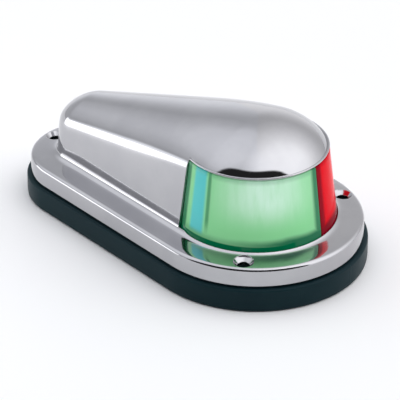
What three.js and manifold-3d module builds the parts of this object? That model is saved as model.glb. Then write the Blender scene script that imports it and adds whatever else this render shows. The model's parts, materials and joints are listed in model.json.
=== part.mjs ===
// Bi-colour deck-mount bow navigation light: a chrome-plated teardrop hood over a red and green
// wrap-round lens, on a black moulded base, with a horizontal double-contact bayonet lamp inside.
// Millimetres. +X is forward (over the bow), +Y is port (red), +Z is up. The origin is on the deck
// face, at the middle of the base.
import * as THREE from 'three';
import { mergeVertices } from 'three/addons/utils/BufferGeometryUtils.js';
import Module from 'manifold-3d';

const wasm = await Module();
wasm.setup();
const { Manifold } = wasm;

// ---------------------------------------------------------------- driving dimensions
const XF = 26.45;            // centre of the lens drum
const XR = -40.55;           // centre of the tail radius
const SPAN = XF - XR;
const BASE_RF = 36.55;       // base plan radius at the bow end
const BASE_RR = 22.45;       // base plan radius at the tail end
const BASE_H = 7.75;         // height of the black base's rim
const PLINTH_H = 12.4;       // top of the plinth that the hood's flange sits over
const FLOOR_T = 2.5;         // floor of the base's recess
const SKIRT_Z = 8.05;        // lower edge of the hood's skirt
const LEDGE_Z = 8.5;         // ledge in the plinth that carries the seal
const RIM_Z = 16.3;          // lower edge of the visible lens
const LIP_Z = 39.95;         // brow over the lens
const LENS_ARC = 117;        // half angle of the lens window
const DRAFT = 0.123;         // lens and wall draft, mm per mm
const WALL = 1.75;           // hood wall thickness
const SCREW_INSET = 5.75;    // deck-screw holes, in from the base's edge
const SCREW_R = 2.0;
const CSK_R = 3.3;
const LAMP_Z = 28.1;         // height of the lamp's axis
const PIN_X = 7.4;           // bayonet pin plane
const PUSH = 2.0;            // how far the lamp pushes in
const TWIST = 22;            // degrees from locked to the entry slot
const WIRE_X = -18.4;        // wire outlet in the base's floor
const WIRE_R = 4.2;

// hood surface: crown height law along X and plan radii
const HOOD = { zc: 31.9, h: 19.1, mz: 0.125, mh: 0.122, x1: 19.0, lam: 6.0, k: 1.088,
  wf: 26.3, wt: 12.1, wsf: 23.3, wst: 11.3, ref: 1.5, rem: 3.8, ret: 3.2 };

// ---------------------------------------------------------------- helpers
function solid(geometry) {
  const g = new THREE.BufferGeometry();
  const src = geometry.index ? geometry.toNonIndexed() : geometry;
  g.setAttribute('position', src.getAttribute('position').clone());
  const m = mergeVertices(g, 1e-4);
  const idx = m.index.array;
  const keep = [];
  for (let i = 0; i < idx.length; i += 3) {
    const [a, b, c] = [idx[i], idx[i + 1], idx[i + 2]];
    if (a !== b && b !== c && a !== c) keep.push(a, b, c);
  }
  const pos = m.attributes.position.array;
  let tri = new Uint32Array(keep);
  let s = new Manifold(new wasm.Mesh({ numProp: 3, vertProperties: pos, triVerts: tri }));
  if (s.volume() < 0) {
    for (let i = 0; i < tri.length; i += 3) [tri[i + 1], tri[i + 2]] = [tri[i + 2], tri[i + 1]];
    s = new Manifold(new wasm.Mesh({ numProp: 3, vertProperties: pos, triVerts: tri }));
  }
  return s;
}

function geometryOf(s) {
  const m = s.getMesh();
  const n = m.numProp;
  const v = new Float32Array(m.numVert * 3);
  for (let i = 0; i < m.numVert; i++) v.set(m.vertProperties.subarray(i * n, i * n + 3), i * 3);
  const g = new THREE.BufferGeometry();
  g.setAttribute('position', new THREE.BufferAttribute(v, 3));
  g.setIndex(new THREE.BufferAttribute(new Uint32Array(m.triVerts), 1));
  return g;
}

const cyl = (r, h, x, y, z, seg = 24) =>      // vertical cylinder standing on z
  solid(new THREE.CylinderGeometry(r, r, h, seg).rotateX(Math.PI / 2).translate(x, y, z + h / 2));
const box = (x0, x1, y0, y1, z0, z1) =>
  solid(new THREE.BoxGeometry(x1 - x0, y1 - y0, z1 - z0)
    .translate((x0 + x1) / 2, (y0 + y1) / 2, (z0 + z1) / 2));

// turned piece about Z: profile of [r, z]
const turnZ = (profile, seg = 24, x = 0, y = 0) =>
  solid(new THREE.LatheGeometry(profile.map(([r, z]) => new THREE.Vector2(r, z)), seg)
    .rotateX(Math.PI / 2).translate(x, y, 0));
// turned piece about the lamp's axis: profile of [x, r]
const turnX = (profile, seg = 28, y = 0, z = LAMP_Z) =>
  solid(new THREE.LatheGeometry(profile.map(([x, r]) => new THREE.Vector2(r, x)), seg)
    .rotateZ(-Math.PI / 2).translate(0, y, z));

// plan outline of a tapered capsule; v runs 0 (astern) .. 1 .. 2 .. 3 (ahead) on the port side
function outlinePoint(v, rf, rr) {
  const al = Math.asin((rf - rr) / SPAN);
  const s = Math.min(1, Math.max(0, v - 1));
  const half = Math.PI / 2 + al;
  const th = v < 1 ? Math.PI + (half - Math.PI) * v : v < 2 ? half : half * (3 - v);
  const r = rr + (rf - rr) * s;
  const y = v === 0 || v === 3 ? 0 : r * Math.sin(th);
  return [XR + SPAN * s + r * Math.cos(th), y];
}
function stations(nTail, nFlank, nFront) {
  const v = [];
  for (let i = 0; i < nTail; i++) v.push(i / nTail);
  for (let i = 0; i < nFlank; i++) v.push(1 + i / nFlank);
  for (let i = 0; i <= nFront; i++) v.push(2 + i / nFront);
  return v;
}
// the full closed loop: port side astern to ahead, then starboard back again
function loopOf(v) {
  const loop = v.map((t) => [t, 1]);
  for (let i = v.length - 2; i > 0; i--) loop.push([v[i], -1]);
  return loop;
}
const STATIONS = stations(8, 6, 15);
const PLAN = loopOf(STATIONS);
const plan = (rf, rr, loop = PLAN) => loop.map(([v, side]) => {
  const [x, y] = outlinePoint(v, rf, rr);
  return new THREE.Vector2(x, side * y);
});

// straight-sided plan prism, and one with a stepped or rounded edge [rf, rr, z]
const prism = (rf, rr, z0, z1, loop = PLAN) =>
  solid(new THREE.ExtrudeGeometry(new THREE.Shape(plan(rf, rr, loop)), { depth: z1 - z0, bevelEnabled: false })
    .translate(0, 0, z0));
function loft(rings) {
  const pos = [];
  const pts = rings.map(([rf, rr, z]) => plan(rf, rr).map((p) => [p.x, p.y, z]));
  const n = PLAN.length;
  const tri = (a, b, c) => pos.push(...a, ...b, ...c);
  for (let i = 0; i + 1 < pts.length; i++)
    for (let j = 0; j < n; j++) {
      const k = (j + 1) % n;
      tri(pts[i][j], pts[i + 1][j], pts[i + 1][k]);
      tri(pts[i][j], pts[i + 1][k], pts[i][k]);
    }
  const low = [0, 0, rings[0][2]], top = [0, 0, rings[rings.length - 1][2]];
  for (let j = 0; j < n; j++) {
    const k = (j + 1) % n;
    tri(low, pts[0][j], pts[0][k]);
    tri(top, pts[pts.length - 1][k], pts[pts.length - 1][j]);
  }
  return solid(new THREE.BufferGeometry().setAttribute('position', new THREE.Float32BufferAttribute(pos, 3)));
}

// a wedge of the drum seen from above, |angle| < half, out to radius r
function pacman(half, r, z0, z1, seg = 40) {
  const a = THREE.MathUtils.degToRad(half);
  const pts = [new THREE.Vector2(XF, 0)];
  for (let i = 0; i <= seg; i++) {
    const t = -a + (2 * a * i) / seg;
    pts.push(new THREE.Vector2(XF + r * Math.cos(t), r * Math.sin(t)));
  }
  return solid(new THREE.ExtrudeGeometry(new THREE.Shape(pts), { depth: z1 - z0, bevelEnabled: false })
    .translate(0, 0, z0));
}

// profile of [r, z] swept about the drum's axis from a0 to a1 degrees, with flat ends
function sector(profile, a0, a1, seg) {
  const shape = profile.map(([r, z]) => new THREE.Vector2(r, z));
  const caps = THREE.ShapeUtils.triangulateShape(shape, []);
  const at = (i, p) => {
    const t = THREE.MathUtils.degToRad(a0 + ((a1 - a0) * i) / seg);
    return [XF + p.x * Math.cos(t), p.x * Math.sin(t), p.y];
  };
  const pos = [];
  const n = shape.length;
  for (let i = 0; i < seg; i++)
    for (let j = 0; j < n; j++) {
      const k = (j + 1) % n;
      const A = at(i, shape[j]), B = at(i, shape[k]), C = at(i + 1, shape[k]), D = at(i + 1, shape[j]);
      pos.push(...A, ...B, ...C, ...A, ...C, ...D);
    }
  for (const [a, b, c] of caps) {
    pos.push(...at(0, shape[a]), ...at(0, shape[c]), ...at(0, shape[b]));
    pos.push(...at(seg, shape[a]), ...at(seg, shape[b]), ...at(seg, shape[c]));
  }
  return solid(new THREE.BufferGeometry().setAttribute('position', new THREE.Float32BufferAttribute(pos, 3)));
}

// round wire or lead along a curve
function tube(curve, r, sides, steps) {
  const ring = [];
  for (let i = 0; i < sides; i++) {
    const t = (2 * Math.PI * i) / sides;
    ring.push(new THREE.Vector2(r * Math.cos(t), r * Math.sin(t)));
  }
  return solid(new THREE.ExtrudeGeometry(new THREE.Shape(ring), { steps, bevelEnabled: false, extrudePath: curve }));
}
class Helix extends THREE.Curve {
  constructor(r, turns, from, to) { super(); Object.assign(this, { r, turns, from, to }); }
  getPoint(t, out = new THREE.Vector3()) {
    const a = 2 * Math.PI * this.turns * t;
    const p = this.from.clone().lerp(this.to, t);
    const along = this.to.clone().sub(this.from).normalize();
    const side = Math.abs(along.x) > 0.5 ? new THREE.Vector3(0, 1, 0) : new THREE.Vector3(1, 0, 0);
    const other = along.clone().cross(side);
    return out.copy(p).addScaledVector(side, this.r * Math.cos(a)).addScaledVector(other, this.r * Math.sin(a));
  }
}

// ---------------------------------------------------------------- hood surface
const soft = (x) => {                 // rises with slope 1 astern and levels off over the drum
  const t = (HOOD.x1 - x) / HOOD.lam;
  return -HOOD.lam * (t > 30 ? t : Math.log(1 + Math.exp(t)));
};
function crownPoint(v, u, off) {
  const [x, y] = outlinePoint(v, (HOOD.wsf - off.r) * u, (HOOD.wst - off.r) * u);
  const z = HOOD.zc - off.z + HOOD.mz * soft(x) + (HOOD.h + HOOD.mh * soft(x)) * Math.sqrt(Math.max(0, 1 - (u / HOOD.k) ** 2));
  return new THREE.Vector3(x, y, z);
}
function hoodColumn(v, off, z0, nWall, nEdge, nCrown) {
  const [bx, by] = outlinePoint(v, HOOD.wf - off.r, HOOD.wt - off.r);
  const base = new THREE.Vector3(bx, by, RIM_Z);
  const S = crownPoint(v, 1, off);
  const up = S.clone().sub(base);
  const H = up.length();
  up.normalize();
  const t = v - 1;
  const re = v <= 1 ? HOOD.ret : v >= 2 ? HOOD.ref
    : t < 0.5 ? HOOD.ret + (HOOD.rem - HOOD.ret) * t * 2 : HOOD.rem + (HOOD.ref - HOOD.rem) * (t - 0.5) * 2;
  const w = HOOD.wst + (HOOD.wsf - HOOD.wst) * Math.min(1, Math.max(0, t));
  const uB = 1 - (0.95 * re) / w;
  const A = base.clone().addScaledVector(up, H - re);
  const B = crownPoint(v, uB, off);
  const tB = crownPoint(v, uB - 1e-3, off).sub(B).normalize();
  const L = B.distanceTo(A);
  const c1 = A.clone().addScaledVector(up, L * 0.42);
  const c2 = B.clone().addScaledVector(tB, -L * 0.42);
  const edge = new THREE.CubicBezierCurve3(A, c1, c2, B);
  const col = [];
  const first = (z0 - RIM_Z) / up.z;
  for (let i = 0; i < nWall; i++) col.push(base.clone().addScaledVector(up, first + ((H - re - first) * i) / nWall));
  for (let i = 0; i < nEdge; i++) col.push(edge.getPoint(i / nEdge));
  for (let i = 0; i <= nCrown; i++) {
    const p = crownPoint(v, i === nCrown ? 0 : uB * Math.cos((Math.PI / 2) * (i / nCrown)), off);
    if (i === nCrown) p.y = 0;
    col.push(p);
  }
  return col;
}
function skin(flange, off, z0, nWall, nEdge, nCrown, v) {
  return v.map((t) => {
    const col = flange.map(([inset, z]) => {
      const [x, y] = outlinePoint(t, BASE_RF - inset, BASE_RR - inset);
      return new THREE.Vector3(x, y, z);
    });
    return col.concat(hoodColumn(t, off, z0, nWall, nEdge, nCrown));
  });
}
function housingShell() {
  const v = STATIONS;
  const outer = skin([[1.35, SKIRT_Z], [1.45, 13.55], [1.75, 14.3], [2.35, 14.7], [3.5, 14.8], [7.9, 15.1], [9.2, 15.4], [9.9, 16.05]],
    { r: 0, z: 0 }, 17.1, 3, 3, 6, v);
  const inner = skin([[2.9, SKIRT_Z], [2.95, 12.7], [9.5, 12.7], [11.9, 13.7]],
    { r: WALL, z: 1.65 }, 16.0, 2, 2, 5, v);
  const pos = [];
  const push = (a, b, c) => pos.push(a.x, a.y, a.z, b.x, b.y, b.z, c.x, c.y, c.z);
  const quad = (a, b, c, d) => { push(a, b, c); push(a, c, d); };
  const port = (p) => p, star = (p) => new THREE.Vector3(p.x, -p.y, p.z);
  for (const [m, turn] of [[port, false], [star, true]]) {
    const q = (a, b, c, d) => (turn ? quad(m(a), m(d), m(c), m(b)) : quad(m(a), m(b), m(c), m(d)));
    for (let j = 0; j + 1 < v.length; j++) {
      const o0 = outer[j], o1 = outer[j + 1], i0 = inner[j], i1 = inner[j + 1];
      for (let i = 0; i + 1 < o0.length; i++) q(o0[i], o0[i + 1], o1[i + 1], o1[i]);
      for (let i = 0; i + 1 < i0.length; i++) q(i0[i], i1[i], i1[i + 1], i0[i + 1]);
      q(o0[0], o1[0], i1[0], i0[0]);
    }
  }
  return solid(new THREE.BufferGeometry().setAttribute('position', new THREE.Float32BufferAttribute(pos, 3)));
}

// deck-screw holes: two beside the lens at 60 degrees, one astern
const SCREWS = [60, -60].map((d) => {
  const a = THREE.MathUtils.degToRad(d), r = BASE_RF - SCREW_INSET;
  return [XF + r * Math.cos(a), r * Math.sin(a)];
}).concat([[XR - (BASE_RR - SCREW_INSET), 0]]);

// ---------------------------------------------------------------- the pieces
const parts = [];
const MAT = {
  chrome: [0xc9cbcf, 0.06, 1.0], black: [0x15191b, 0.55, 0.0], rubber: [0x0d0f10, 0.8, 0.0],
  green: [0x2fae62, 0.08, 0.0], red: [0xc4122b, 0.08, 0.0], white: [0xe8e8e2, 0.5, 0.0],
  brass: [0xb58d3d, 0.3, 1.0], nickel: [0xb9b6ab, 0.28, 1.0], steel: [0xa9abad, 0.35, 1.0],
  bakelite: [0x3a2418, 0.45, 0.0], glass: [0xe9eef0, 0.03, 0.0], solder: [0x9a9a9c, 0.4, 1.0],
  tungsten: [0x5b5a58, 0.5, 1.0], leadRed: [0xa81c1c, 0.5, 0.0], leadBlack: [0x191919, 0.5, 0.0],
};
function part(name, s, mat) {
  const [color, roughness, metalness] = MAT[mat];
  const mesh = new THREE.Mesh(geometryOf(s), new THREE.MeshStandardMaterial({ color, roughness, metalness }));
  mesh.name = name;
  parts.push(mesh);
}

// moulded base: rim, plinth, recess, bracket pad, wire outlet and screw holes
let base = loft([[BASE_RF - 0.5, BASE_RR - 0.5, 0], [BASE_RF, BASE_RR, 0.5], [BASE_RF, BASE_RR, BASE_H - 0.7], [BASE_RF - 0.7, BASE_RR - 0.7, BASE_H]])
  .add(prism(33.3, 19.2, BASE_H - 1, PLINTH_H))
  .subtract(prism(27.6, 13.5, LEDGE_Z, PLINTH_H + 5))
  .subtract(prism(23.35, 9.25, FLOOR_T, PLINTH_H + 5))
  .add(box(-13.1, -1.6, -10, 10, FLOOR_T - 1, 5.0));
for (const y of [-6.2, 6.2]) base = base.subtract(cyl(1.35, 5, -8.6, y, 1.0, 12));
base = base.subtract(cyl(WIRE_R, 10, WIRE_X, 0, -5, 28));
for (const [x, y] of SCREWS) base = base.subtract(cyl(SCREW_R, 40, x, y, -5, 18));
part('mounting_base', base, 'black');

// bush that lines the wire outlet
part('wire_grommet', turnZ([[3.0, 0.3], [3.9, 0.3], [3.9, 2.8], [4.8, 2.8], [4.8, 3.5], [4.4, 3.9], [3.3, 3.9], [3.0, 3.6], [3.0, 0.3]], 22, WIRE_X, 0), 'rubber');

// rubber seal under the lens foot and the hood's inner rib
part('perimeter_seal', prism(27.2, 13.1, 8.8, 10.3).subtract(prism(24.65, 10.55, 8, 12)), 'rubber');

// chrome hood: shell, inner rib, lens window and countersunk holes
let hood = housingShell()
  .add(prism(BASE_RF - 9.7, BASE_RR - 9.7, 10.6, 14.2).subtract(prism(BASE_RF - 11.4, BASE_RR - 11.4, 10, 15)))
  .subtract(pacman(LENS_ARC, 44, RIM_Z - 0.05, LIP_Z))
  .subtract(pacman(LENS_ARC, 26.65, 10, RIM_Z))
  .subtract(pacman(LENS_ARC + 0.8, 28.2, 10, 12.66));
for (const [x, y] of SCREWS)
  hood = hood.subtract(cyl(SCREW_R, 20, x, y, 0, 18))
    .subtract(turnZ([[0, 13.2], [SCREW_R - 0.2, 13.2], [SCREW_R, 13.6], [CSK_R, 14.95], [CSK_R, 18.5], [0, 18.5]], 18, x, y));
part('housing', hood, 'chrome');

// lens halves: a tray with a foot under the flange and a thicker border at the foot and both ends
const rLens = (z) => HOOD.wf - DRAFT * (z - RIM_Z);
const LENS_TOP = LIP_Z - 0.3;
function lens(a0, a1) {
  const shellProfile = [[27.3, 10.6], [27.3, 12.4], [26.3, 12.4], [26.3, RIM_Z], [rLens(28), 28], [rLens(LENS_TOP), LENS_TOP],
    [rLens(LENS_TOP) - 2, LENS_TOP], [rLens(28) - 2, 28], [rLens(18.9) - 2, 18.9], [22.6, 18.3], [22.6, 10.6]];
  const rib = [[26.0, 12.5], [26.0, RIM_Z], [rLens(LENS_TOP) - 0.3, LENS_TOP], [rLens(LENS_TOP) - 3.8, LENS_TOP], [22.45, 12.5]];
  const s = Math.sign(a1 - a0);
  return sector(shellProfile, a0, a1, 22)
    .add(sector(rib, a0, a0 + s * 3, 1))
    .add(sector(rib, a1 - s * 3.4, a1, 1));
}
part('lens_green', lens(-LENS_ARC + 0.75, -0.37), 'green');
part('lens_red', lens(0.37, LENS_ARC - 0.75), 'red');

// screen on the centreline between the two lenses
const screen = new THREE.Shape([[38.0, 13.2], [48.35, 13.2], [45.6, 39.4], [44.2, 41.8], [41.0, 44.6], [38.0, 46.0]]
  .map(([x, z]) => new THREE.Vector2(x, z)));
part('lens_divider', solid(new THREE.ExtrudeGeometry(screen, { depth: 1.2, bevelEnabled: false })
  .rotateX(Math.PI / 2).translate(0, 0.6, 0)), 'white');

// socket: shell with collar, crimp and two L-shaped bayonet slots
let shell = turnX([[-13.2, 8.45], [-4.55, 8.45], [-4.5, 9.2], [-3.9, 9.2], [-3.85, 8.45], [-2.15, 8.45], [-2.1, 9.6], [-1.3, 9.6],
  [-1.25, 8.45], [11.2, 8.45], [11.6, 8.8], [11.9, 8.4], [11.6, 7.9], [-12.4, 7.9], [-12.4, 7.0], [-13.2, 7.0], [-13.2, 8.45]], 28);
const slotPiece = (x0, x1, t0, t1) => {         // wedge of the shell's wall between two turn angles
  const pts = [];
  for (let i = 0; i <= 4; i++) {
    const t = THREE.MathUtils.degToRad(t0 + ((t1 - t0) * i) / 4);
    pts.push([12 * Math.cos(t), 12 * Math.sin(t)]);
  }
  const inner = [t1, t0].map((d) => {
    const t = THREE.MathUtils.degToRad(d);
    return [5 * Math.cos(t), 5 * Math.sin(t)];
  });
  const shape = new THREE.Shape([...pts, ...inner].map(([a, b]) => new THREE.Vector2(a, b)));
  // shape's X becomes +Y and its Y becomes +Z
  const g = new THREE.ExtrudeGeometry(shape, { depth: x1 - x0, bevelEnabled: false });
  g.applyMatrix4(new THREE.Matrix4().makeBasis(new THREE.Vector3(0, 1, 0), new THREE.Vector3(0, 0, 1), new THREE.Vector3(1, 0, 0)));
  return solid(g.translate(x0, 0, LAMP_Z));
};
for (const pin of [90, 270])
  shell = shell.subtract(slotPiece(PIN_X - 1.0 - PUSH - 0.35, PIN_X + 1.15, pin - 9, pin + TWIST + 9))
    .subtract(slotPiece(PIN_X, 14, pin + TWIST - 9, pin + TWIST + 9));
part('socket_shell', shell, 'nickel');

// insulator with two plunger bores and two lead holes
let insulator = turnX([[-12.1, 0], [-12.1, 7.55], [-4.4, 7.55], [-4.4, 0]], 24);
for (const y of [-3.6, 3.6])
  insulator = insulator.subtract(turnX([[-11.0, 0], [-11.0, 2.4], [-3, 2.4], [-3, 0]], 14, y))
    .subtract(turnX([[-14, 0], [-14, 1.15], [-10, 1.15], [-10, 0]], 10, y));
part('socket_insulator', insulator, 'bakelite');

['1', '2'].forEach((n, i) => {
  const y = i ? -3.6 : 3.6;
  part('contact_plunger_' + n, turnX([[-6.7, 0], [-6.7, 2.05], [-3.3, 2.05], [-2.9, 1.65], [-1.3, 1.65], [-0.75, 1.1], [-0.6, 0]], 12, y), 'brass');
  part('contact_spring_' + n, tube(new Helix(1.55, 4, new THREE.Vector3(-10.55, y, LAMP_Z), new THREE.Vector3(-7.15, y, LAMP_Z)), 0.2, 5, 40), 'steel');
});

// bracket that carries the socket on the base
const plate = new THREE.Shape();
plate.moveTo(-9.5, 5.3); plate.lineTo(9.5, 5.3); plate.lineTo(9.5, 17); plate.lineTo(11.6, 22); plate.lineTo(11.6, LAMP_Z);
for (let i = 1; i < 12; i++) plate.lineTo(11.6 * Math.cos((Math.PI * i) / 12), LAMP_Z + 11.6 * Math.sin((Math.PI * i) / 12));
plate.lineTo(-11.6, LAMP_Z); plate.lineTo(-11.6, 22); plate.lineTo(-9.5, 17); plate.closePath();
let bracket = solid(new THREE.ExtrudeGeometry(plate, { depth: 1.2, bevelEnabled: false })
  .applyMatrix4(new THREE.Matrix4().makeBasis(new THREE.Vector3(0, 1, 0), new THREE.Vector3(0, 0, 1), new THREE.Vector3(1, 0, 0)))
  .translate(-3.6, 0, 0))
  .add(box(-12.9, -2.6, -9.5, 9.5, 5.3, 6.5))
  .subtract(turnX([[-8, 0], [-8, 8.8], [2, 8.8], [2, 0]], 28));
for (const y of [-6.2, 6.2]) bracket = bracket.subtract(cyl(1.8, 5, -8.6, y, 3, 16));
part('socket_bracket', bracket, 'steel');

['1', '2'].forEach((n, i) => {
  const y = i ? -6.2 : 6.2;
  part('bracket_screw_' + n, turnZ([[0, 1.3], [1.05, 1.6], [1.05, 6.8], [2.8, 6.8], [2.8, 7.7], [2.2, 8.4], [0, 8.6]], 16, -8.6, y)
    .subtract(box(-12, -5, y - 0.4, y + 0.4, 7.7, 9)), 'steel');
});

// two-way terminal block beside the wire outlet
let block = box(-32.2, -23.6, -7.6, 7.6, 2.8, 10.6);
for (const y of [-3.6, 3.6])
  block = block.subtract(box(-31.2, -24.6, y - 2.3, y + 2.3, 3.6, 12))
    .subtract(solid(new THREE.CylinderGeometry(1.5, 1.5, 14, 14).rotateZ(Math.PI / 2).translate(-28, y, 5.9)));
block = block.subtract(box(-33, -23, -0.5, 0.5, 8.2, 12));
part('terminal_block', block, 'white');
['1', '2'].forEach((n, i) => {
  const y = i ? -3.6 : 3.6;
  part('terminal_insert_' + n, box(-30.9, -24.9, y - 2.0, y + 2.0, 3.9, 9.2)
    .subtract(solid(new THREE.CylinderGeometry(1.35, 1.35, 14, 14).rotateZ(Math.PI / 2).translate(-28, y, 5.9)))
    .subtract(cyl(1.45, 6, -28.4, y, 6.5, 14)), 'brass');
  part('terminal_screw_' + n, turnZ([[0, 7.4], [1.1, 7.4], [1.1, 9.5], [1.9, 9.5], [1.9, 10.5], [0, 10.9]], 14, -28.4, y)
    .subtract(box(-31, -26, y - 0.3, y + 0.3, 10.2, 12)), 'brass');
  const path = new THREE.CatmullRomCurve3([[-11.4, LAMP_Z], [-13.5, LAMP_Z], [-16.2, 27.2], [-18.2, 24.2], [-18.8, 20.0], [-18.8, 14.5], [-19.2, 10.2],
    [-20.8, 7.2], [-23.2, 5.95], [-25.6, 5.9]].map(([x, z]) => new THREE.Vector3(x, y, z)), false, 'centripetal');
  part('lead_' + n, tube(path, 0.8, 8, 20), i ? 'leadBlack' : 'leadRed');
});

// lamp: globe with an open neck, cap with bayonet pins, insulator, contact tips and filament
const R_BULB = 9.5, GLASS_T = 0.7;
const glassProfile = (r0, dx) => {
  const p = [];
  for (let i = 0; i <= 8; i++) {
    const t = THREE.MathUtils.degToRad(148 - (148 * i) / 8);
    p.push([XF + r0 * Math.cos(t) + dx, Math.max(0, r0 * Math.sin(t))]);
  }
  return p;
};
const outerGlass = glassProfile(R_BULB, 0);
const innerGlass = glassProfile(R_BULB - GLASS_T, 0).reverse();
outerGlass[outerGlass.length - 1][1] = 0;
innerGlass[0][1] = 0;
part('bulb_glass', turnX([[11.6, 4.95], ...outerGlass, ...innerGlass, [11.6, 4.3], [11.6, 4.95]], 24), 'glass');
let cap = turnX([[0.8, 7.3], [1.2, 7.6], [14.6, 7.6], [15.2, 7.25], [16.4, 5.6], [16.4, 5.25], [15.0, 6.8], [14.4, 7.15], [1.9, 7.15], [1.9, 6.2], [0.8, 6.2], [0.8, 7.3]], 28);
for (const s of [1, -1])
  cap = cap.add(solid(new THREE.CylinderGeometry(1.0, 1.0, 1.6, 12).rotateX(Math.PI / 2).translate(PIN_X, 0, LAMP_Z + s * 7.8)));
part('bulb_cap', cap, 'brass');
part('bulb_insulator', turnX([[0.7, 0], [0.7, 5.9], [2.6, 5.9], [3.4, 3.5], [3.4, 0]], 24), 'bakelite');
['1', '2'].forEach((n, i) => {
  const y = i ? -3.6 : 3.6;
  part('bulb_tip_' + n, turnX([[0.4, 0], [0.4, 1.7], [-0.05, 1.4], [-0.25, 0]], 14, y), 'solder');
});
part('bulb_stem', turnX([[10.6, 0], [10.6, 4.0], [11.8, 3.9], [12.8, 2.6], [17.6, 1.9], [18.4, 1.3], [18.7, 0]], 16), 'glass');
const FZ = 2.9;
['1', '2'].forEach((n, i) => {
  const s = i ? -1 : 1;
  const path = new THREE.CatmullRomCurve3([[19.0, 0.9], [21.5, 1.5], [24.5, 2.9], [25.7, FZ + 0.45]].map(([x, z]) => new THREE.Vector3(x, 0, LAMP_Z + s * z)));
  part('filament_post_' + n, tube(path, 0.22, 6, 8), 'nickel');
});
part('bulb_filament', tube(new Helix(0.45, 6, new THREE.Vector3(XF + 0.15, 0, LAMP_Z - FZ), new THREE.Vector3(XF + 0.15, 0, LAMP_Z + FZ)), 0.13, 4, 45), 'tungsten');

// ---------------------------------------------------------------- the model
const light = new THREE.Group();
light.name = 'bow_navigation_light';
for (const m of parts) light.add(m);
export default light;
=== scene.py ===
import json
import math

import bmesh
import bpy
import numpy as np
from mathutils import Matrix, Vector
from mathutils.bvhtree import BVHTree
from mathutils.geometry import barycentric_transform


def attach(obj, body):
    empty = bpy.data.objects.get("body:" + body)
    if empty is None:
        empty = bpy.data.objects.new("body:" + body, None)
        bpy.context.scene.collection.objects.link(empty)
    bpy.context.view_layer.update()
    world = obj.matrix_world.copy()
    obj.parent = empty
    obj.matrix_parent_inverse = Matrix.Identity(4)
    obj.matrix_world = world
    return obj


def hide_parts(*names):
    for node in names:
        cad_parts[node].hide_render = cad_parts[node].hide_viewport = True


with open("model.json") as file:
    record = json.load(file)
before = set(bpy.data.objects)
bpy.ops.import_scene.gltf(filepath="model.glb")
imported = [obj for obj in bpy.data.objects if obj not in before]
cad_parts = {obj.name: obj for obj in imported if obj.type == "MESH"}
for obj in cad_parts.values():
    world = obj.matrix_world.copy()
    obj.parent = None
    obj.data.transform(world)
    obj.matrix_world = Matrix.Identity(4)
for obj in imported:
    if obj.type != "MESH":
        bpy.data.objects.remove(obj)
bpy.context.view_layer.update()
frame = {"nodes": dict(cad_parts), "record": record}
nodes = frame["nodes"]
scene = bpy.context.scene

# ------------------------------------------------------------------ dimensions, millimetres
MM = 0.001
XF, XR = 26.45, -40.55
SPAN = XF - XR
BASE_RF, BASE_RR, BASE_H, PLINTH_H, FLOOR_T, LEDGE_Z, SKIRT_Z = 36.55, 22.45, 7.75, 12.4, 2.5, 8.5, 8.05
RIM_Z, LIP_Z, LENS_ARC, DRAFT, WALL = 16.3, 39.95, 117.0, 0.123, 1.75
SCREW_R, CSK_R, LAMP_Z = 2.0, 3.3, 28.1
WIRE_X, WIRE_R = -18.4, 4.2
ZC, HH, MZ, MH, X1, LAM, K = 31.9, 19.1, 0.125, 0.122, 19.0, 6.0, 1.088
WF, WT, WSF, WST = 26.3, 12.1, 23.3, 11.3
REF, REM, RET = 1.5, 3.8, 3.2
SCREWS = [(XF + 30.8 * math.cos(math.radians(d)), 30.8 * math.sin(math.radians(d))) for d in (60, -60)]
SCREWS.append((XR - (BASE_RR - 5.75), 0.0))


# ------------------------------------------------------------------ mesh helpers
def make(name, verts, faces, smooth=True, merge=2e-6):
    me = bpy.data.meshes.new(name)
    me.from_pydata([tuple(p) for p in np.asarray(verts, float) * MM], [], [tuple(f) for f in faces])
    bm = bmesh.new()
    bm.from_mesh(me)
    if merge:
        bmesh.ops.remove_doubles(bm, verts=bm.verts, dist=merge)
        bmesh.ops.dissolve_degenerate(bm, edges=bm.edges, dist=1e-8)
    bmesh.ops.recalc_face_normals(bm, faces=bm.faces)
    if bm.calc_volume(signed=True) < 0:
        bmesh.ops.reverse_faces(bm, faces=bm.faces)
    bm.to_mesh(me)
    bm.free()
    me.shade_smooth() if smooth else me.shade_flat()
    ob = bpy.data.objects.new(name, me)
    scene.collection.objects.link(ob)
    return ob


def grid(rows, close_ring=True, close_cols=False, cap_lo=False, cap_hi=False):
    """Rows of rings [n_rows][n_ring][3] joined by quads."""
    rows = [np.asarray(r, float) for r in rows]
    n, m = len(rows), len(rows[0])
    verts = np.concatenate(rows)
    faces = []
    for i in range(n if close_cols else n - 1):
        a, b = i * m, ((i + 1) % n) * m
        for j in range(m if close_ring else m - 1):
            k = (j + 1) % m
            faces.append((a + j, a + k, b + k, b + j))
    if cap_lo:
        faces.append(tuple(range(m)))
    if cap_hi:
        faces.append(tuple((n - 1) * m + j for j in range(m)))
    return verts, faces


def carve(ob, cutters, op="DIFFERENCE"):
    for c in cutters:
        mod = ob.modifiers.new("cut", "BOOLEAN")
        mod.operation, mod.object, mod.solver = op, c, "EXACT"
    dg = bpy.context.evaluated_depsgraph_get()
    me = bpy.data.meshes.new_from_object(ob.evaluated_get(dg))
    ob.modifiers.clear()
    old, ob.data = ob.data, me
    bpy.data.meshes.remove(old)
    for c in cutters:
        bpy.data.objects.remove(c)
    return ob


def sharpen(ob, degrees=35):
    ob.data.shade_smooth()
    ob.data.set_sharp_from_angle(angle=math.radians(degrees))
    return ob


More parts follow.
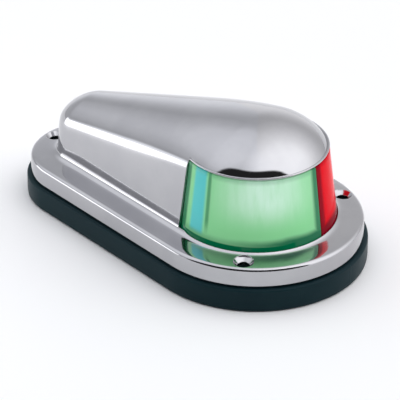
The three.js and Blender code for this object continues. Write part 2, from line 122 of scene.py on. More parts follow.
def follow_normals(ob, ref_bvh, ref_me, tol=3e-6):
    """Faces that lie on the reference surface take its smooth normals, and cut faces stay flat."""
    me = ob.data
    ref_n = [v.normal.copy() for v in ref_me.vertices]
    ref_co = [v.co.copy() for v in ref_me.vertices]
    near = []
    for v in me.vertices:
        loc, _, idx, dist = ref_bvh.find_nearest(v.co)
        if idx is None or dist > tol:
            near.append(None)
            continue
        vs = ref_me.polygons[idx].vertices
        if len(vs) == 4:
            tri = (0, 1, 2) if (loc - ref_co[vs[1]]).length < (loc - ref_co[vs[3]]).length else (0, 2, 3)
            ids = [vs[i] for i in tri]
        else:
            ids = list(vs)[:3]
        try:
            n = barycentric_transform(loc, *[ref_co[i] for i in ids], *[ref_n[i] for i in ids])
        except (ValueError, ZeroDivisionError):
            n = ref_n[ids[0]].copy()
        near.append(n.normalized() if n.length > 1e-6 else None)
    out = []
    for p in me.polygons:
        for li in p.loop_indices:
            n = near[me.loops[li].vertex_index]
            out.append(n if n is not None and n.dot(p.normal) > 0.93 else p.normal.copy())
    me.shade_smooth()
    me.normals_split_custom_set(out)


def outline(v, rf, rr):
    v = np.asarray(v, float)
    al = np.arcsin((rf - rr) / SPAN)
    s = np.clip(v - 1, 0, 1)
    half = np.pi / 2 + al
    th = np.where(v < 1, np.pi + (half - np.pi) * v, np.where(v < 2, half, half * (3 - v)))
    r = rr + (rf - rr) * s
    y = np.where((v <= 0) | (v >= 3), 0.0, r * np.sin(th))
    return XR + SPAN * s + r * np.cos(th), y


def stations(a, b, c):
    return np.concatenate([np.arange(a) / a, 1 + np.arange(b) / b, 2 + np.arange(c + 1) / c])


def ring(points):
    """A port-side column row [nv, 3] to the whole loop."""
    back = points[-2:0:-1].copy()
    back[:, 1] *= -1
    return np.concatenate([points, back])


def plan_ring(v, inset, z):
    x, y = outline(v, BASE_RF - inset, BASE_RR - inset)
    return ring(np.stack([x, y, np.full_like(x, z)], 1))


def loft(name, v, profile, **kw):
    """Closed plan body: profile of [inset, z] from the bottom's rim to the top's rim."""
    return make(name, *grid([plan_ring(v, i, z) for i, z in profile], cap_lo=True, cap_hi=True), **kw)


def arc(cx, cy, r, a0, a1, n):
    t = np.radians(np.linspace(a0, a1, n))
    return [(cx + r * math.cos(q), cy + r * math.sin(q)) for q in t]


def lathe(name, profile, seg, axis="z", at=(0, 0, 0), closed=False, **kw):
    """profile of (radius, along)."""
    rows = []
    for r, h in profile:
        t = 2 * np.pi * np.arange(seg) / seg
        c, s = r * np.cos(t), r * np.sin(t)
        h = np.full(seg, float(h))
        p = np.stack([c, s, h], 1) if axis == "z" else np.stack([h, c, s], 1)
        rows.append(p + np.asarray(at, float))
    v, f = grid(rows, close_cols=closed)
    if not closed:
        m = seg
        if profile[0][0] > 1e-6:
            f.append(tuple(range(m)))
        if profile[-1][0] > 1e-6:
            f.append(tuple((len(profile) - 1) * m + j for j in range(m)))
    return make(name, v, f, **kw)


def tube(name, path, r, sides=12, **kw):
    """Round-section rod along points, with parallel-transport frames and flat ends."""
    p = np.asarray(path, float)
    t = np.gradient(p, axis=0)
    t /= np.linalg.norm(t, axis=1)[:, None]
    n = np.cross(t[0], (0.3, 0.5, 0.81))
    n /= np.linalg.norm(n)
    rows = []
    q = 2 * np.pi * np.arange(sides) / sides
    for i in range(len(p)):
        n = n - t[i] * np.dot(n, t[i])
        n /= np.linalg.norm(n)
        b = np.cross(t[i], n)
        rows.append(p[i] + r * (np.cos(q)[:, None] * n + np.sin(q)[:, None] * b))
    return make(name, *grid(rows, cap_lo=True, cap_hi=True), **kw)


def spline(points, n):
    """Catmull-Rom through the points."""
    p = np.asarray(points, float)
    p = np.concatenate([[2 * p[0] - p[1]], p, [2 * p[-1] - p[-2]]])
    out = []
    for i in range(1, len(p) - 2):
        for t in np.linspace(0, 1, n, endpoint=False):
            a, b, c, d = p[i - 1], p[i], p[i + 1], p[i + 2]
            out.append(0.5 * (2 * b + (c - a) * t + (2 * a - 5 * b + 4 * c - d) * t * t + (3 * b - a - 3 * c + d) * t ** 3))
    out.append(p[-2])
    return np.array(out)


def helix(axis_a, axis_b, r, turns, n):
    a, b = np.asarray(axis_a, float), np.asarray(axis_b, float)
    d = (b - a) / np.linalg.norm(b - a)
    s = np.array([0, 1, 0]) if abs(d[0]) > 0.5 else np.array([1, 0, 0])
    o = np.cross(d, s)
    t = np.linspace(0, 1, n)[:, None]
    q = 2 * np.pi * turns * t
    return a + (b - a) * t + r * (np.cos(q) * s + np.sin(q) * o)


def join(ob, *others):
    bm = bmesh.new()
    bm.from_mesh(ob.data)
    for o in others:
        bm.from_mesh(o.data)
        bpy.data.objects.remove(o)
    bm.to_mesh(ob.data)
    bm.free()
    return ob


# ------------------------------------------------------------------ hood surface
def soft(x):
    return -LAM * np.logaddexp(0, (X1 - x) / LAM)


def crown(v, u, dr, dz):
    u = np.broadcast_to(np.asarray(u, float), np.shape(v))
    x, y = outline(v, (WSF - dr) * u, (WST - dr) * u)
    z = ZC - dz + MZ * soft(x) + (HH + MH * soft(x)) * np.sqrt(np.maximum(0, 1 - (u / K) ** 2))
    return np.stack([x, y, z], 1)


def unit(a):
    return a / np.linalg.norm(a, axis=1)[:, None]


def hood_rows(v, dr, dz, z0, n_wall, n_edge, n_crown):
    bx, by = outline(v, WF - dr, WT - dr)
    base = np.stack([bx, by, np.full_like(bx, RIM_Z)], 1)
    S = crown(v, 1.0, dr, dz)
    H = np.linalg.norm(S - base, axis=1)[:, None]
    up = (S - base) / H
    t = v - 1
    re = np.where(v <= 1, RET, np.where(v >= 2, REF, np.where(t < 0.5, RET + (REM - RET) * t * 2, REM + (REF - REM) * (t - 0.5) * 2)))
    # ease the change of edge size along the flank
    w = WST + (WSF - WST) * np.clip(t, 0, 1)
    uB = 1 - 0.95 * re / w
    re = re[:, None]
    A = base + up * (H - re)
    B = crown(v, uB, dr, dz)
    tB = unit(crown(v, uB - 1e-3, dr, dz) - B)
    L = np.linalg.norm(B - A, axis=1)[:, None]
    c1, c2 = A + up * L * 0.42, B - tB * L * 0.42
    first = (z0 - RIM_Z) / up[:, 2:3]
    rows = [base + up * (first + (H - re - first) * i / n_wall) for i in range(n_wall)]
    for i in range(n_edge):
        s = i / n_edge
        rows.append((1 - s) ** 3 * A + 3 * (1 - s) ** 2 * s * c1 + 3 * (1 - s) * s * s * c2 + s ** 3 * B)
    for i in range(n_crown + 1):
        u = uB * math.cos(math.pi / 2 * i / n_crown) if i < n_crown else 0.0 * uB
        rows.append(crown(v, u, dr, dz))
    return rows


V = stations(36, 40, 72)
land = ([(1.5, SKIRT_Z), (1.36, SKIRT_Z + 0.15), (1.35, SKIRT_Z + 0.8), (1.38, 11.5)] + [(x, z) for x, z in arc(2.68, 13.52, 1.25, 180, 95, 9)]
        + [(4.2, 14.84), (5.6, 14.92), (7.0, 15.0), (8.0, 15.1)])
wall_in = 10.32
land += [
    tuple((1 - s) ** 3 * np.array([8.0, 15.1]) + 3 * (1 - s) ** 2 * s * np.array([9.1, 15.18])
          + 3 * (1 - s) * s * s * np.array([wall_in - 0.1, 15.7]) + s ** 3 * np.array([wall_in, 16.8])) for s in np.linspace(0.14, 0.93, 7)]
outer = [plan_ring(V, i, z) for i, z in land] + [ring(r) for r in hood_rows(V, 0, 0, 17.1, 10, 10, 26)]
inner = [plan_ring(V, i, z) for i, z in [(2.9, SKIRT_Z), (2.95, 12.7), (9.5, 12.7), (11.9, 13.7)]] + [ring(r) for r in hood_rows(V, WALL, 1.65, 16.0, 4, 4, 12)]
n_ring = len(outer[0])
ov, of_ = grid(outer)
iv, if_ = grid(inner)
off = len(ov)
faces = of_ + [tuple(off + k for k in reversed(f)) for f in if_]
faces += [(j, off + j, off + (j + 1) % n_ring, (j + 1) % n_ring) for j in range(n_ring)]
housing = make("housing_casting", np.concatenate([ov, iv]), faces)
ref = housing.data.copy()
ref_bvh = BVHTree.FromPolygons([v.co.copy() for v in ref.vertices], [tuple(p.vertices) for p in ref.polygons])


def wedge(name, half, r, z0, z1, seg=140, inner_r=0.0):
    t = np.radians(np.linspace(-half, half, seg + 1))
    loop = [(XF, 0.0)] + [(XF + r * math.cos(q), r * math.sin(q)) for q in t]
    rows = [[(x, y, z) for x, y in loop] for z in (z0, z1)]
    return make(name, *grid(rows, cap_lo=True, cap_hi=True), smooth=False)


cuts = [wedge("c1", LENS_ARC, 44, RIM_Z - 0.05, LIP_Z), wedge("c2", LENS_ARC, 26.65, 10, RIM_Z + 0.1), wedge("c3", LENS_ARC + 0.8, 28.2, 10, 12.66)]
for i, (x, y) in enumerate(SCREWS):
    cuts.append(lathe(f"c_h{i}", [(SCREW_R, 4), (SCREW_R, 13.5), (SCREW_R + 0.1, 13.62), (CSK_R - 0.12, 14.72), (CSK_R, 14.9), (CSK_R + 0.02, 19)], 72, at=(x, y, 0), smooth=False))
carve(housing, cuts)
follow_normals(housing, ref_bvh, ref)

# rounded bead round the window's brow lip
def window_bead():
    rows = []
    q = np.radians(np.linspace(-LENS_ARC, LENS_ARC, 150))
    lip_r = WF - DRAFT * (LIP_Z - RIM_Z) - 0.28
    top = [(XF + lip_r * math.cos(a), lip_r * math.sin(a), LIP_Z + 0.3) for a in q]
    return tube("window_bead", top, 0.36, 12)


bead = window_bead()
join(housing, bead)

# ------------------------------------------------------------------ lenses
def r_lens(z):
    return WF - DRAFT * (z - RIM_Z)


LENS_TOP = LIP_Z - 0.3


def lens(name, a0, a1):
    zs = np.linspace(RIM_Z + 0.4, LENS_TOP - 0.35, 18)
    prof = [(27.3, 10.6), (27.3, 12.4), (26.3, 12.4), (26.3, RIM_Z)] + [(r_lens(z), z) for z in zs]
    prof += [(r_lens(LENS_TOP) - 0.1, LENS_TOP - 0.08), (r_lens(LENS_TOP) - 0.4, LENS_TOP), (r_lens(LENS_TOP) - 2, LENS_TOP)]
    prof += [(r_lens(z) - 2, z) for z in np.linspace(LENS_TOP - 0.5, 18.9, 16)]
    prof += [(22.6, 18.3), (22.6, 10.6)]
    n = 96
    rows = []
    for a in np.radians(np.linspace(a0, a1, n)):
        rows.append([(XF + r * math.cos(a), r * math.sin(a), z) for r, z in prof])
    body = make(name, *grid(rows, cap_lo=True, cap_hi=True))
    s = 1 if a1 > a0 else -1
    ribs = []
    for b0, b1 in ((a0 + s * 0.01, a0 + s * 3), (a1 - s * 3.4, a1 - s * 0.01)):
        rp = [(26.0, 12.5), (26.0, RIM_Z), (r_lens(LENS_TOP) - 0.3, LENS_TOP - 0.02), (r_lens(LENS_TOP) - 3.8, LENS_TOP - 0.02), (22.45, 12.5)]
        rr = [[(XF + r * math.cos(a), r * math.sin(a), z) for r, z in rp] for a in np.radians(np.linspace(b0, b1, 5))]
        ribs.append(make("rib", *grid(rr, cap_lo=True, cap_hi=True), smooth=False))
    carve(body, ribs, "UNION")
    return sharpen(body, 30)


lens_g = lens("lens_starboard", -0.37, -LENS_ARC + 0.75)
lens_r = lens("lens_port", 0.37, LENS_ARC - 0.75)

# ------------------------------------------------------------------ moulded base
VB = stations(36, 40, 72)
e = 0.75
prof = ([(0.75, 0.0), (0.35, 0.12), (0.12, 0.5), (0.1, 1.0)] + [(0.03, 1.25), (0.0, 1.6), (0.0, 4.5), (0.0, BASE_H - e)]
        + [(e - x, BASE_H - e + z) for x, z in [(e * math.cos(t), e * math.sin(t)) for t in np.radians(np.linspace(12, 90, 7))]]
        + [(2.2, BASE_H), (3.25, BASE_H + 0.02), (3.25, PLINTH_H - 0.3), (3.5, PLINTH_H)])
base = loft("base_moulding", VB, prof)
tools = [loft("b1", VB, [(8.95, LEDGE_Z), (8.95, PLINTH_H + 5)], smooth=False), loft("b2", VB, [(13.2, FLOOR_T), (13.2, PLINTH_H + 5)], smooth=False)]
carve(base, tools)


def brick(name, x0, x1, y0, y1, z0, z1, bevel=0.0):
    v = [(x, y, z) for x in (x0, x1) for y in (y0, y1) for z in (z0, z1)]
    f = [(0, 1, 3, 2), (4, 6, 7, 5), (0, 4, 5, 1), (2, 3, 7, 6), (0, 2, 6, 4), (1, 5, 7, 3)]
    ob = make(name, v, f, smooth=False)
    if bevel:
        bm = bmesh.new()
        bm.from_mesh(ob.data)
        bmesh.ops.bevel(bm, geom=bm.edges[:], offset=bevel * MM, segments=3, affect="EDGES", profile=0.6)
        bm.to_mesh(ob.data)
        bm.free()
    return ob


carve(base, [brick("pad", -13.1, -1.6, -10, 10, FLOOR_T - 1, 5.0, 0.25)], "UNION")
holes = [lathe("bw", [(WIRE_R, -5), (WIRE_R, 5)], 64, at=(WIRE_X, 0, 0), smooth=False)]
for y in (-6.2, 6.2):
    holes.append(lathe("bs", [(1.35, 1.0), (1.35, 6.0)], 32, at=(-8.6, y, 0), smooth=False))
for x, y in SCREWS:
    holes.append(lathe("bd", [(SCREW_R, -5), (SCREW_R, 35)], 48, at=(x, y, 0), smooth=False))
carve(base, holes)
sharpen(base, 28)

# rubber seal with a rounded bead on top
seal = make("seal_ring", *grid([plan_ring(VB, i, z) for i, z in
            [(9.55, 8.8), (9.35, 9.0), (9.35, 10.0), (9.5, 10.2), (9.75, 10.3), (10.3, 10.2), (10.6, 10.06), (10.9, 10.2), (11.5, 10.3), (11.75, 10.2), (11.9, 10.0), (11.9, 9.0), (11.7, 8.8)]],
            close_cols=True))
sharpen(seal, 50)

# ------------------------------------------------------------------ lamp, leads and springs
q = np.radians(np.linspace(148.0, 0.0, 40))
og = [(max(0.0, 9.5 * math.sin(a)), XF + 9.5 * math.cos(a)) for a in q]
ig = [(max(0.0, 8.8 * math.sin(a)), XF + 8.8 * math.cos(a)) for a in q[::-1]]
glass = lathe("lamp_globe", [(4.35, 11.6), (4.95, 11.6), (4.95, 14.0), (5.0, 16.5)] + og + ig + [(4.4, 16.4), (4.3, 14.0)], 72, axis="x", at=(0, 0, LAMP_Z), closed=True)
leads, springs = [], []
for i, y in enumerate((3.6, -3.6)):
    pts = [(-11.4, LAMP_Z), (-13.5, LAMP_Z), (-16.2, 27.2), (-18.2, 24.2), (-18.8, 20.0), (-18.8, 14.5), (-19.2, 10.2), (-20.8, 7.2), (-23.2, 5.95), (-25.6, 5.9)]
    path = spline([(x, y, z) for x, z in pts], 10)
    leads.append(tube(f"lead_sleeve_{i + 1}", path, 0.8, 16))
    springs.append(tube(f"contact_coil_{i + 1}", helix((-10.55, y, LAMP_Z), (-7.15, y, LAMP_Z), 1.55, 4, 180), 0.2, 10))
coil = tube("filament_coil", helix((XF + 0.15, 0, LAMP_Z - 2.9), (XF + 0.15, 0, LAMP_Z + 2.9), 0.45, 14, 420), 0.07, 8)


# ------------------------------------------------------------------ materials
class Mat:
    """A small builder for node materials in object coordinates, scaled to millimetres."""

    def __init__(self, name):
        self.m = bpy.data.materials.new(name)
        self.m.use_nodes = True
        self.t = self.m.node_tree
        self.b = self.t.nodes["Principled BSDF"]
        tc = self.t.nodes.new("ShaderNodeTexCoord")
        mp = self.t.nodes.new("ShaderNodeMapping")
        mp.inputs["Scale"].default_value = (1000, 1000, 1000)
        self.t.links.new(tc.outputs["Object"], mp.inputs["Vector"])
        self.co = mp.outputs["Vector"]

    def link(self, a, b):
        self.t.links.new(a, b)

    def node(self, kind, **props):
        n = self.t.nodes.new(kind)
        for k, v in props.items():
            setattr(n, k, v)
        return n

    def noise(self, size, detail=4, rough=0.55, stretch=None):
        n = self.node("ShaderNodeTexNoise")
        n.inputs["Scale"].default_value = 1.0 / size
        n.inputs["Detail"].default_value = detail
        n.inputs["Roughness"].default_value = rough
        if stretch:
            mp = self.node("ShaderNodeMapping")
            mp.inputs["Scale"].default_value = stretch
            self.link(self.co, mp.inputs["Vector"])
            self.link(mp.outputs["Vector"], n.inputs["Vector"])
        else:
            self.link(self.co, n.inputs["Vector"])
        return n.outputs["Fac"]

    def math(self, op, a, b=0.0, c=None):
        n = self.node("ShaderNodeMath", operation=op)
        for i, x in enumerate((a, b) if c is None else (a, b, c)):
            if isinstance(x, (int, float)):
                n.inputs[i].default_value = x
            else:
                self.link(x, n.inputs[i])
        return n.outputs[0]

    def remap(self, x, a, b, lo, hi, kind="SMOOTHSTEP"):
        n = self.node("ShaderNodeMapRange", interpolation_type=kind)
        self.link(x, n.inputs["Value"])
        for k, v in (("From Min", a), ("From Max", b), ("To Min", lo), ("To Max", hi)):
            n.inputs[k].default_value = v
        return n.outputs["Result"]

    def xyz(self):
        n = self.node("ShaderNodeSeparateXYZ")
        self.link(self.co, n.inputs[0])
        return n.outputs

    def mix(self, f, a, b):
        n = self.node("ShaderNodeMix", data_type="RGBA")
        if isinstance(f, (int, float)):
            n.inputs[0].default_value = f
        else:
            self.link(f, n.inputs[0])
        for i, x in ((6, a), (7, b)):
            if isinstance(x, tuple):
                n.inputs[i].default_value = (*x, 1.0)
            else:
                self.link(x, n.inputs[i])
        return n.outputs[2]

    def bump(self, height, strength, distance_mm, normal=None):
        n = self.node("ShaderNodeBump")
        n.inputs["Strength"].default_value = strength
        n.inputs["Distance"].default_value = distance_mm * MM
        self.link(height, n.inputs["Height"])
        if normal is not None:
            self.link(normal, n.inputs["Normal"])
        return n.outputs["Normal"]

    def bevel(self, r_mm):
        n = self.node("ShaderNodeBevel", samples=6)
        n.inputs["Radius"].default_value = r_mm * MM
        return n.outputs["Normal"]

    def set(self, **kw):
        for k, v in kw.items():
            self.b.inputs[k.replace("_", " ")].default_value = v
        return self

    def out(self, color=None, rough=None, normal=None):
        if color is not None:
            self.link(color, self.b.inputs["Base Color"])
        if rough is not None:
            self.link(rough, self.b.inputs["Roughness"])
        if normal is not None:
            self.link(normal, self.b.inputs["Normal"])
        return self.m


def plain(name, color, rough, metal=0.0, grain=0.5, vary=0.12, rvary=0.08, bump=0.2, depth=0.03, stretch=None, **kw):
    """A finish with colour drift, roughness variation and a fine surface grain."""
    m = Mat(name)
    m.set(Metallic=metal, **kw)
    big = m.noise(7.0, 5, 0.6)
    fine = m.noise(grain, 6, 0.6, stretch)
    dark = tuple(c * (1 - vary) for c in color)
    lite = tuple(min(1.0, c * (1 + vary)) for c in color)
    f = m.remap(big, 0.3, 0.7, 0.0, 1.0)
    r = m.math("ADD", m.remap(big, 0.3, 0.7, max(0.02, rough - rvary), rough + rvary), m.remap(fine, 0.3, 0.7, -0.03, 0.03))
    return m.out(m.mix(f, dark, lite), r, m.bump(fine, bump, depth))


def chrome():
    m = Mat("chrome_plate")
    m.set(Metallic=1.0)
    smudge = m.noise(16.0, 5, 0.6)
    fine = m.noise(0.35, 4, 0.6)
    ripple = m.noise(9.0, 2, 0.4)
    col = m.mix(m.remap(smudge, 0.35, 0.7, 0, 1), (0.44, 0.44, 0.458), (0.475, 0.475, 0.49))
    pit = m.remap(fine, 0.72, 0.8, 0.0, 1.0)
    col = m.mix(pit, col, (0.42, 0.42, 0.43))
    r = m.math("ADD", m.remap(smudge, 0.4, 0.75, 0.055, 0.11), m.math("MULTIPLY", pit, 0.15))
    n = m.bump(ripple, 0.12, 0.12, m.bevel(0.28))
    return m.out(col, r, m.bump(fine, 0.04, 0.01, n))


def base_black():
    m = Mat("black_moulding")
    m.set(IOR=1.45, Specular_IOR_Level=0.09)
    grain = m.noise(0.28, 3, 0.5)
    drift = m.noise(11.0, 4, 0.6)
    s = m.xyz()
    ang = m.math("ARCTAN2", s["Y"], m.math("SUBTRACT", s["X"], XF))
    seam = m.remap(m.math("ABSOLUTE", m.math("SUBTRACT", ang, 0.055)), 0.0, 0.006, 1.0, 0.0)
    side = m.remap(s["Z"], BASE_H - 0.6, BASE_H, 1.0, 0.0)
    seam = m.math("MULTIPLY", seam, m.math("MULTIPLY", side, m.math("GREATER_THAN", s["X"], XF)))
    scuff = m.remap(m.noise(2.4, 6, 0.75, (0.35, 0.35, 3.0)), 0.62, 0.74, 0.0, 1.0)
    col = m.mix(m.remap(drift, 0.3, 0.7, 0, 1), (0.0055, 0.0215, 0.0275), (0.0075, 0.0255, 0.0315))
    col = m.mix(m.math("MULTIPLY", scuff, 0.35), col, (0.028, 0.038, 0.042))
    # painted highlight: convex edges, found from pointiness, are painted a lighter grey
    geo = m.node("ShaderNodeNewGeometry")
    edge_highlight = m.remap(geo.outputs["Pointiness"], 0.52, 0.6, 0.0, 0.5)
    col = m.mix(edge_highlight, col, (0.035, 0.045, 0.05))
    r = m.math("ADD", m.remap(drift, 0.3, 0.7, 0.32, 0.44), m.math("MULTIPLY", scuff, 0.12))
    n = m.bump(grain, 0.3, 0.03, m.bevel(0.15))
    n = m.bump(seam, 0.8, 0.12, n)
    return m.out(col, r, n)


def lens_mat(name, shade_tint, mid, glow_tint, reflection_tint, sign, level, trans):
    """Tinted lens with painted light: painted shade along the bottom edge, under the brow lip, at both ends and in two
    thin upright strips, a painted glowing patch across the middle, and a painted cyan reflection streak near both outer
    ends; the colour also feeds emission, so the lens gives off light though no lamp in it is lit.
    """
    m = Mat(name)
    m.set(IOR=1.42, Specular_IOR_Level=level, Transmission_Weight=trans, Emission_Strength=0.24)
    s = m.xyz()
    dx = m.math("SUBTRACT", s["X"], XF)
    ang = m.math("MULTIPLY", m.math("ARCTAN2", s["Y"], dx), sign * 180 / math.pi)   # 0 at the middle to 117
    wob = m.math("MULTIPLY", m.math("SUBTRACT", m.noise(9.0, 2, 0.4), 0.5), 1.6)
    z = m.math("ADD", s["Z"], wob)
    # painted shade: the colour darkens along the bottom edge of the lens (more towards the middle), under the brow lip,
    # at both ends, in a thin upright strip near 90.5 degrees and beside the middle joint
    foot_shade = m.remap(s["Z"], RIM_Z + 0.9, RIM_Z + 1.5, 1.0, 0.0)
    foot_shade = m.math("MAXIMUM", foot_shade, m.math("MULTIPLY", m.remap(z, RIM_Z + 1.5, RIM_Z + 3.8, 1.0, 0.0), m.remap(ang, 26.0, 80.0, 1.0, 0.3)))
    brow_shade = m.remap(s["Z"], 37.6, 39.4, 0.0, 0.3)
    end_shade = m.remap(ang, 110.0, 112.5, 0.0, 0.9)
    strip_shade = m.math("MULTIPLY", m.remap(m.math("ABSOLUTE", m.math("SUBTRACT", ang, 90.5)), 0.6, 2.4, 0.7, 0.0), m.remap(s["Z"], 19.0, 24.0, 0.2, 1.0))
    mid_edge_shade = m.remap(ang, 3.5, 8.0, 0.9, 0.0)
    # dark is the painted shade mask, which takes the colour to the shade tint at the last mix
    dark = m.math("MAXIMUM", m.math("MAXIMUM", m.math("MAXIMUM", foot_shade, brow_shade), m.math("MAXIMUM", end_shade, mid_edge_shade)), strip_shade)
    # painted light: a paler glowing patch across the middle of the lens, centred 46 degrees round from the middle and
    # strongest in its upper part
    painted_glow = m.math("MULTIPLY", m.remap(m.math("ABSOLUTE", m.math("SUBTRACT", ang, 46.0)), 0.0, 52.0, 1.0, 0.0), m.remap(s["Z"], 21.0, 33.0, 0.0, 1.0))
    streak = m.noise(3.0, 4, 0.6, (1.0, 1.0, 0.12))
    col = m.mix(painted_glow, mid, glow_tint)
    col = m.mix(m.remap(streak, 0.35, 0.7, 0.0, 0.3), col, mid)
    # painted reflection: a cyan upright streak about 100 degrees round from the middle of each lens, above the bottom
    # edge
    painted_reflection = m.math("MULTIPLY", m.remap(m.math("ABSOLUTE", m.math("SUBTRACT", ang, 100.0)), 4.5, 8.0, 1.0, 0.0), m.remap(s["Z"], 17.4, 19.6, 0.0, 1.0))
    col = m.mix(m.math("MULTIPLY", painted_reflection, 0.9), col, reflection_tint)
    col = m.mix(dark, col, shade_tint)
    # the painted colour also drives emission at strength 0.24, so the lens gives off light though no lamp in it is lit
    m.link(col, m.b.inputs["Emission Color"])
    r = m.remap(m.noise(5.0, 5, 0.6), 0.3, 0.7, 0.03, 0.09)
    n = m.bump(m.noise(4.0, 3, 0.5), 0.12, 0.05, m.bevel(0.2))
    return m.out(col, r, n)


MATS = {
    "chrome_plate": chrome(),
    "black_moulding": base_black(),
    "black_rubber": plain("black_rubber", (0.016, 0.016, 0.017), 0.72, grain=0.4, bump=0.35, depth=0.04),
    # lens colours in order: shade tint for the painted shade, body colour, paler tint for the painted glowing patch,
    # tint of the painted reflection streak
    "green_acrylic": lens_mat("green_acrylic", (0.0, 0.15, 0.06), (0.25, 0.66, 0.31), (0.64, 0.87, 0.73), (0.08, 0.55, 0.60), -1.0, 0.3, 0.18),
    "red_acrylic": lens_mat("red_acrylic", (0.20, 0.0, 0.008), (0.66, 0.0, 0.008), (0.68, 0.0, 0.008), (0.62, 0.06, 0.06), 1.0, 0.03, 0.05),
    "white_moulding": plain("white_moulding", (0.74, 0.73, 0.69), 0.42, grain=0.5, vary=0.05, bump=0.15),
    "brown_moulding": plain("brown_moulding", (0.10, 0.045, 0.022), 0.38, grain=0.7, vary=0.3, bump=0.2),
    "brass": plain("brass", (0.62, 0.42, 0.16), 0.26, 1.0, grain=0.5, vary=0.12, bump=0.12, stretch=(0.15, 1, 1)),
    "nickel_plate": plain("nickel_plate", (0.56, 0.54, 0.49), 0.24, 1.0, grain=0.5, vary=0.08, bump=0.1, stretch=(0.15, 1, 1)),
    "stainless": plain("stainless", (0.52, 0.53, 0.54), 0.32, 1.0, grain=0.35, vary=0.08, bump=0.18, stretch=(1, 0.12, 1)),
    "solder": plain("solder", (0.48, 0.48, 0.49), 0.36, 1.0, grain=0.9, vary=0.15, bump=0.4, depth=0.06),
    "tungsten": plain("tungsten", (0.22, 0.21, 0.2), 0.4, 1.0, grain=0.2, vary=0.1),
    "red_sleeving": plain("red_sleeving", (0.42, 0.015, 0.015), 0.4, grain=0.8, vary=0.12, bump=0.15),
    "black_sleeving": plain("black_sleeving", (0.018, 0.018, 0.02), 0.42, grain=0.8, vary=0.2, bump=0.15),
}


def lamp_glass():
    m = Mat("lamp_glass")
    m.set(IOR=1.46, Transmission_Weight=1.0)
    col = m.mix(m.remap(m.noise(9.0, 3), 0.3, 0.7, 0, 1), (0.93, 0.96, 0.97), (0.98, 0.99, 0.99))
    return m.out(col, m.remap(m.noise(5.0, 5), 0.35, 0.7, 0.005, 0.05), m.bump(m.noise(4.0, 2), 0.05, 0.03))


MATS["lamp_glass"] = lamp_glass()


def dress(ob, slot_name):
    ob.data.materials.clear()
    ob.data.materials.append(MATS[slot_name])


def piece(ob, body, slot_name, *stands_for):
    dress(ob, slot_name)
    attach(ob, body)
    if stands_for:
        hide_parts(*stands_for)


piece(housing, "hood", "chrome_plate", "housing")
piece(lens_g, "hood", "green_acrylic", "lens_green")
piece(lens_r, "hood", "red_acrylic", "lens_red")
piece(base, "base", "black_moulding", "mounting_base")
piece(seal, "base", "black_rubber", "perimeter_seal")
piece(glass, "bulb", "lamp_glass", "bulb_glass")
for i in (0, 1):
    piece(leads[i], "base", ("red_sleeving", "black_sleeving")[i], f"lead_{i + 1}")
    piece(springs[i], "base", "stainless", f"contact_spring_{i + 1}")
piece(coil, "bulb", "tungsten", "bulb_filament")

slot_of = {r["node"]: r["material_slot"] for r in frame["record"]["subparts"]}
for name, ob in nodes.items():
    if ob.hide_render or not slot_of.get(name):
        continue
    ob.data.materials.clear()
    ob.data.materials.append(MATS[slot_of[name]])

# ------------------------------------------------------------------ camera, fitted to the picture's outlines
AZ, EL, ROLL, DIST, FOC, TX, TY = 37.5979, 30.0978, 0.15965, 986.2416, 3000.0, 3.25143, 8.71368
a, el, ro = (math.radians(q) for q in (AZ, EL, ROLL))
back = np.array([math.sin(a) * math.cos(el), -math.cos(a) * math.cos(el), math.sin(el)])
cx = np.cross((0, 0, 1), back)
cx /= np.linalg.norm(cx)
cy = np.cross(back, cx)
c, s = math.cos(ro), math.sin(ro)
R = np.array([c * cx + s * cy, -s * cx + c * cy, back])
loc = np.array([TX, TY, DIST]) @ R * MM
cam_data = bpy.data.cameras.new("camera")
cam_data.sensor_width, cam_data.lens = 36.0, FOC * 36.0 / 400.0
cam_data.clip_start, cam_data.clip_end = 0.05, 20.0
cam = bpy.data.objects.new("camera", cam_data)
scene.collection.objects.link(cam)
cam.matrix_world = Matrix([[*R[:, i], loc[i]] for i in range(3)] + [[0, 0, 0, 1]])
scene.camera = cam

# ------------------------------------------------------------------ floor, studio light
def card(name, centre, size, color, aim=(0, 0, 0.02), rough=0.9):
    v = [(-size[0] / 2, -size[1] / 2, 0), (size[0] / 2, -size[1] / 2, 0), (size[0] / 2, size[1] / 2, 0), (-size[0] / 2, size[1] / 2, 0)]
    me = bpy.data.meshes.new(name)
    me.from_pydata(v, [], [(0, 1, 2, 3)])
    ob = bpy.data.objects.new(name, me)
    scene.collection.objects.link(ob)
    ob.location = centre
    ob.rotation_mode = "QUATERNION"
    ob.rotation_quaternion = (Vector(aim) - Vector(centre)).to_track_quat("Z", "Y")
    m = bpy.data.materials.new(name)
    m.use_nodes = True
    b = m.node_tree.nodes["Principled BSDF"]
    b.inputs["Base Color"].default_value = (*color, 1)
    b.inputs["Roughness"].default_value = rough
    me.materials.append(m)
    return ob


floor = card("floor", (0, 0, -0.0002), (6, 6), (0.94, 0.94, 0.945), aim=(0, 0, 1))


def softbox(name, centre, size, radiance, aim):
    """A rectangular soft light of one even brightness."""
    d = bpy.data.lights.new(name, "AREA")
    d.shape, d.size, d.size_y, d.energy = "RECTANGLE", size[0], size[1], radiance * math.pi * size[0] * size[1]
    ob = bpy.data.objects.new(name, d)
    scene.collection.objects.link(ob)
    ob.location = centre
    ob.rotation_mode = "QUATERNION"
    ob.rotation_quaternion = (Vector(centre) - Vector(aim)).to_track_quat("Z", "Y")
    ob.visible_camera = False
    return ob


softbox("low_panel", (-0.126, -0.094, 0.0225), (0.135, 0.045), 1.55, (0.0, -0.013, 0.0225))

SURROUND = 1.92


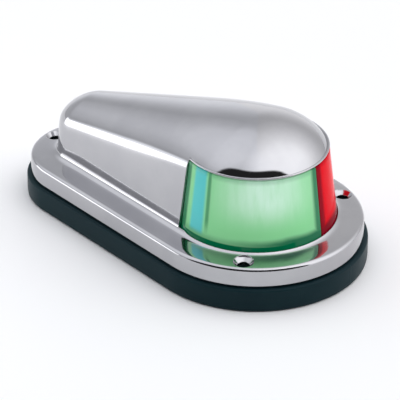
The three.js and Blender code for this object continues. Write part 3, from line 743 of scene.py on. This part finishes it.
class Studio(Mat):
    """The surround as seen in each direction: broad soft panels and one dark flag, on a grey room."""

    def __init__(self):
        world = bpy.data.worlds.new("studio")
        scene.world = world
        world.use_nodes = True
        self.t = world.node_tree
        self.bg = self.t.nodes["Background"]
        tc = self.node("ShaderNodeTexCoord")
        sp = self.node("ShaderNodeSeparateXYZ")
        self.link(tc.outputs["Generated"], sp.inputs[0])
        x, y, z = sp.outputs
        deg = 180 / math.pi
        self.el = self.math("MULTIPLY", self.math("ARCSINE", z), deg)
        # azimuth from the front three-quarter direction, positive to the right of it
        fx, fy = math.sin(math.radians(37.6)), -math.cos(math.radians(37.6))
        u = self.math("ADD", self.math("MULTIPLY", x, fx), self.math("MULTIPLY", y, fy))
        w = self.math("ADD", self.math("MULTIPLY", x, -fy), self.math("MULTIPLY", y, fx))
        self.az = self.math("MULTIPLY", self.math("ARCTAN2", w, u), deg)
        self.dir = (x, y, z)

    def zone(self, a0, a1, e0, e1, sa=3.0, se_lo=3.0, se_hi=3.0):
        f = self.math("MULTIPLY", self.remap(self.az, a0 - sa, a0 + sa, 0, 1), self.remap(self.az, a1 - sa, a1 + sa, 1, 0))
        g = self.math("MULTIPLY", self.remap(self.el, e0 - se_lo, e0 + se_lo, 0, 1), self.remap(self.el, e1 - se_hi, e1 + se_hi, 1, 0))
        return self.math("MULTIPLY", f, g)

    def angle(self, az, el):
        a, e = math.radians(az - 52.4), math.radians(el)
        d = (math.cos(e) * math.cos(a), math.cos(e) * math.sin(a), math.sin(e))
        dot = self.math("ADD", self.math("ADD", self.math("MULTIPLY", self.dir[0], d[0]), self.math("MULTIPLY", self.dir[1], d[1])), self.math("MULTIPLY", self.dir[2], d[2]))
        return self.math("MULTIPLY", self.math("ARCCOSINE", self.math("MINIMUM", dot, 1.0)), 180 / math.pi)

    def lobe(self, az, el, inner, outer):
        return self.remap(self.angle(az, el), inner, outer, 1.0, 0.0)

    def fall(self, az, el, steps):
        """Brightness by angle away from one direction, through (degrees, value) steps."""
        n = self.node("ShaderNodeValToRGB")
        r = n.color_ramp
        for d, v in steps[1:-1]:
            r.elements.new(d / 180.0)
        for e, (d, v) in zip(r.elements, steps):
            e.position, e.color = d / 180.0, (v, v, v, 1.0)
        self.link(self.math("MULTIPLY", self.angle(az, el), 1.0 / 180.0), n.inputs[0])
        return n.outputs["Color"]

    def lerp(self, f, a, b):
        return self.math("ADD", self.math("MULTIPLY", self.math("SUBTRACT", 1.0, f), a), self.math("MULTIPLY", f, b))


st = Studio()
KEY = ((0, 0.97), (22, 0.95), (34, 0.88), (45, 0.72), (55, 0.60), (66, 0.47), (76, 0.39), (90, 0.355), (180, 0.34))
SIDE = ((0, 0.67), (20, 0.66), (32, 0.58), (40, 0.44), (50, 0.34), (180, 0.30))
L = st.math("MAXIMUM", st.fall(60, 45, KEY), st.fall(-100, 64, SIDE))        # broad key, weaker side light, grey room
L = st.lerp(st.lobe(180, -6, 14, 42), L, 0.60)                               # light ground far behind
L = st.lerp(st.zone(-113, -88, -30, 10, 3.0, 2.0, 4.0), L, 0.88)             # long low panel along the near side
a4 = st.math("POWER", st.math("ABSOLUTE", st.math("DIVIDE", st.math("ADD", st.az, 8.0), 63.0)), 4.0)
e4 = st.math("POWER", st.math("DIVIDE", st.math("MAXIMUM", st.el, 0.0), 51.5), 4.0)
L = st.lerp(st.remap(st.math("ADD", a4, e4), 0.84, 1.12, 1.0, 0.0), L, 0.015)  # dark flag in front
L = st.math("MULTIPLY", L, SURROUND)
tint = st.mix(st.remap(st.az, -60.0, 60.0, 0.0, 1.0), (0.985, 1.0, 1.045), (1.0, 1.0, 1.02))
st.link(tint, st.bg.inputs["Color"])
st.link(L, st.bg.inputs["Strength"])

scene.view_settings.view_transform = "Standard"
scene.view_settings.look = "None"
